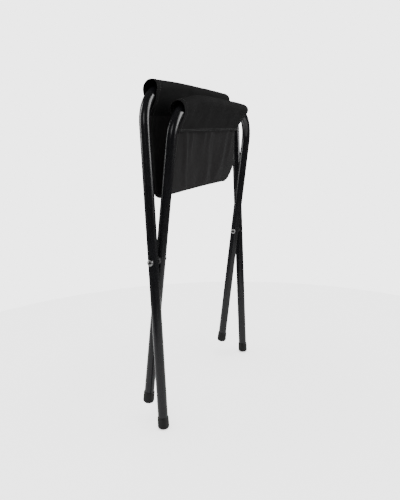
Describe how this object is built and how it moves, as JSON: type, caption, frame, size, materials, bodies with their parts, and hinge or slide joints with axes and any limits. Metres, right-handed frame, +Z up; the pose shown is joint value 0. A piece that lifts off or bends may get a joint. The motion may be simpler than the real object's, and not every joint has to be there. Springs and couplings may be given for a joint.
{
  "type": "folding camp stool",
  "caption": "Folding stool with crossed bent-tube frames on pivot rivets and a cloth sling seat sewn round both seat bars, shown folded.",
  "frame": {"origin": "on the floor, under the middle of the folded stool's bounding box", "axes": "+Z up, the long way of the folded stool; +X along the two seat bars; +Y from the narrow frame's seat bar towards the wide frame's, the thin way of the folded stool"},
  "size_m": [0.3728, 0.0942, 0.5449],
  "materials": {
    "powder_coated_tube": "black powder coat with a satin gloss",
    "foot_plastic": "black moulded plastic, matte",
    "rivet_steel": "bright zinc-plated steel",
    "spacer_plastic": "black moulded plastic",
    "seat_cloth": "black plain-woven polyester, slightly rough"
  },
  "bodies": {
    "pivot": {"left_pivot_rivet": "rivet_steel", "right_pivot_rivet": "rivet_steel", "left_pivot_spacer": "spacer_plastic", "right_pivot_spacer": "spacer_plastic"},
    "outer_frame": {"outer_frame_tube": "powder_coated_tube", "outer_left_foot_cap": "foot_plastic", "outer_right_foot_cap": "foot_plastic"},
    "inner_frame": {"inner_frame_tube": "powder_coated_tube", "inner_left_foot_cap": "foot_plastic", "inner_right_foot_cap": "foot_plastic"},
    "seat_outer": {"seat_sleeve_outer": "seat_cloth", "seat_panel_outer": "seat_cloth"},
    "seat_inner": {"seat_sleeve_inner": "seat_cloth", "seat_panel_inner": "seat_cloth"}
  },
  "joints": [
    {"name": "outer_fold", "type": "hinge", "parent": "pivot", "child": "outer_frame", "pos_m": [0, 0.00095, 0.27252], "axis": [-1, 0, 0], "range_deg": [0, 33.16], "deforming": ["seat_sleeve_outer", "seat_panel_outer", "seat_sleeve_inner", "seat_panel_inner"]},
    {"name": "inner_fold", "type": "hinge", "parent": "pivot", "child": "inner_frame", "pos_m": [0, 0.00095, 0.27252], "axis": [1, 0, 0], "range_deg": [0, 25.23]},
    {"name": "seat_outer_swing", "type": "hinge", "parent": "outer_frame", "child": "seat_outer", "pos_m": [0, 0.00409, 0.53541], "axis": [-1, 0, 0], "range_deg": [0, 44.82]},
    {"name": "seat_inner_swing", "type": "hinge", "parent": "inner_frame", "child": "seat_inner", "pos_m": [0, -0.03586, 0.51292], "axis": [1, 0, 0], "range_deg": [0, 50.26]}
  ],
  "couplings": [
    {"joint": "inner_fold", "follows": "outer_fold", "ratio": 0.76035},
    {"joint": "seat_outer_swing", "follows": "outer_fold", "ratio": 1.3509},
    {"joint": "seat_inner_swing", "follows": "outer_fold", "ratio": 1.515}
  ]
}
